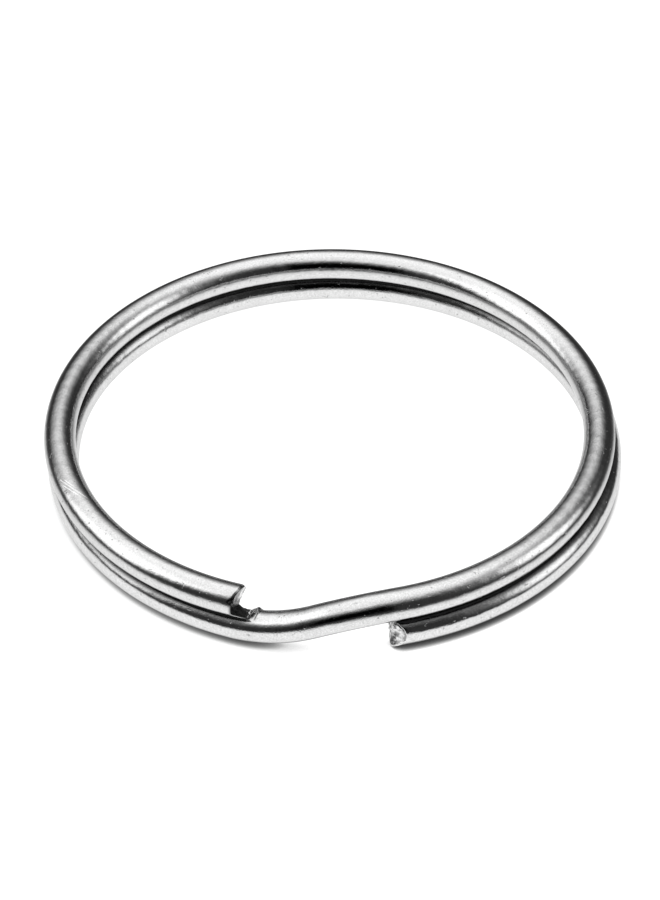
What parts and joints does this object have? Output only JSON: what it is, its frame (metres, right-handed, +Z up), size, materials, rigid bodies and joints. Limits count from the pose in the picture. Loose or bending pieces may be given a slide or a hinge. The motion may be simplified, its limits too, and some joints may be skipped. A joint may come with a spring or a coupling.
{
  "type": "split key ring",
  "caption": "Split key ring of bright round spring wire in two close flat coils, with one step between them and a sheared end beside it on each coil.",
  "frame": {"origin": "below the lower coil's centre, in the plane the ring lies on", "axes": "+Z up through the ring's opening, the step between the coils at -Y, +X to the right seen from the step's side"},
  "size_m": [0.0321, 0.032, 0.0035],
  "materials": {
    "spring_wire": "bright nickel plating on hard-drawn round spring steel wire"
  },
  "bodies": {
    "lower_end": {"lower_end": "spring_wire"},
    "lower_right": {"lower_coil_right": "spring_wire"},
    "lower_back": {"lower_coil_back": "spring_wire"},
    "lower_left": {"lower_coil_left": "spring_wire"},
    "step": {"lower_coil_front": "spring_wire", "crossover": "spring_wire", "upper_coil_front": "spring_wire"},
    "upper_right": {"upper_coil_right": "spring_wire"},
    "upper_back": {"upper_coil_back": "spring_wire"},
    "upper_left": {"upper_coil_left": "spring_wire"},
    "upper_end": {"upper_end": "spring_wire"}
  },
  "joints": [
    {"name": "lower_twist_front_right", "type": "hinge", "parent": "lower_end", "child": "lower_right", "pos_m": [0.01069, -0.01069, 0.00088], "axis": [0.7071, 0.7071, 0], "range_deg": [0, 5], "stiffness_Nm_per_rad": 2.5},
    {"name": "lower_twist_back_right", "type": "hinge", "parent": "lower_right", "child": "lower_back", "pos_m": [0.01069, 0.01069, 0.00088], "axis": [-0.7071, 0.7071, 0], "range_deg": [0, 5], "stiffness_Nm_per_rad": 2.5},
    {"name": "lower_twist_back_left", "type": "hinge", "parent": "lower_back", "child": "lower_left", "pos_m": [-0.01069, 0.01069, 0.00088], "axis": [-0.7071, -0.7071, 0], "range_deg": [0, 5], "stiffness_Nm_per_rad": 2.5},
    {"name": "lower_twist_front_left", "type": "hinge", "parent": "lower_left", "child": "step", "pos_m": [-0.01069, -0.01069, 0.00088], "axis": [0.7071, -0.7071, 0], "range_deg": [0, 5], "stiffness_Nm_per_rad": 2.5},
    {"name": "upper_twist_front_right", "type": "hinge", "parent": "step", "child": "upper_right", "pos_m": [0.01033, -0.01082, 0.00266], "axis": [0.7071, 0.7071, 0], "range_deg": [0, 5], "stiffness_Nm_per_rad": 2.5},
    {"name": "upper_twist_back_right", "type": "hinge", "parent": "upper_right", "child": "upper_back", "pos_m": [0.01033, 0.01033, 0.00266], "axis": [-0.7071, 0.7071, 0], "range_deg": [0, 5], "stiffness_Nm_per_rad": 2.5},
    {"name": "upper_twist_back_left", "type": "hinge", "parent": "upper_back", "child": "upper_left", "pos_m": [-0.01082, 0.01033, 0.00266], "axis": [-0.7071, -0.7071, 0], "range_deg": [0, 5], "stiffness_Nm_per_rad": 2.5},
    {"name": "upper_twist_front_left", "type": "hinge", "parent": "upper_left", "child": "upper_end", "pos_m": [-0.01082, -0.01082, 0.00266], "axis": [0.7071, -0.7071, 0], "range_deg": [0, 5], "stiffness_Nm_per_rad": 2.5}
  ]
}
